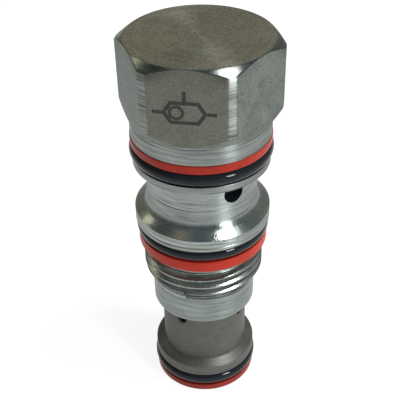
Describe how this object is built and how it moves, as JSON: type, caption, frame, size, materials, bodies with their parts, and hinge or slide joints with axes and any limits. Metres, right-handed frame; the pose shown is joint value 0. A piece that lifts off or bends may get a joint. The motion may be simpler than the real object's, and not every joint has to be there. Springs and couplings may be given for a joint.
{
  "type": "hydraulic cartridge valve",
  "caption": "Screw-in ball shuttle cartridge valve: wrench hexagon, threaded body with seals, floating nose sleeve, and a ball between two seats.",
  "frame": {"origin": "on the valve's axis, at the nose end that goes into the cavity first", "axes": "+Z along the valve's axis from the nose to the wrench hexagon; -Y towards the side that shows one wrench flat nearly square on; +X to its right"},
  "size_m": [0.0246, 0.0238, 0.0648],
  "materials": {
    "zinc_plated_steel": "bright zinc plating over turned steel, satin",
    "hardened_steel": "dark satin, ground after hardening",
    "seat_steel": "satin, ground",
    "spring_steel": "plain",
    "ball_steel": "polished",
    "black_rubber": "smooth, lightly oiled",
    "red_backup_plastic": "satin"
  },
  "bodies": {
    "valve_body": {"hex_body": "zinc_plated_steel", "upper_o_ring": "black_rubber", "upper_backup_ring": "red_backup_plastic", "middle_o_ring": "black_rubber", "middle_backup_ring": "red_backup_plastic", "sleeve_retaining_wire": "spring_steel"},
    "sleeve": {"nose_sleeve": "hardened_steel", "nose_o_ring": "black_rubber", "nose_backup_ring": "red_backup_plastic", "sleeve_o_ring": "black_rubber", "sleeve_backup_ring": "red_backup_plastic", "upper_seat": "seat_steel", "upper_seat_o_ring": "black_rubber", "upper_seat_retaining_ring": "spring_steel", "lower_seat": "seat_steel", "lower_seat_o_ring": "black_rubber", "lower_seat_retaining_ring": "spring_steel"},
    "ball": {"shuttle_ball": "ball_steel"}
  },
  "joints": [
    {"name": "sleeve_swivel", "type": "hinge", "parent": "valve_body", "child": "sleeve", "pos_m": [0, 0, 0.016], "axis": [0, 0, 1], "continuous": true},
    {"name": "ball_shuttle", "type": "slide", "parent": "sleeve", "child": "ball", "axis": [0, 0, 1], "range_m": [0, 0.00387]}
  ]
}
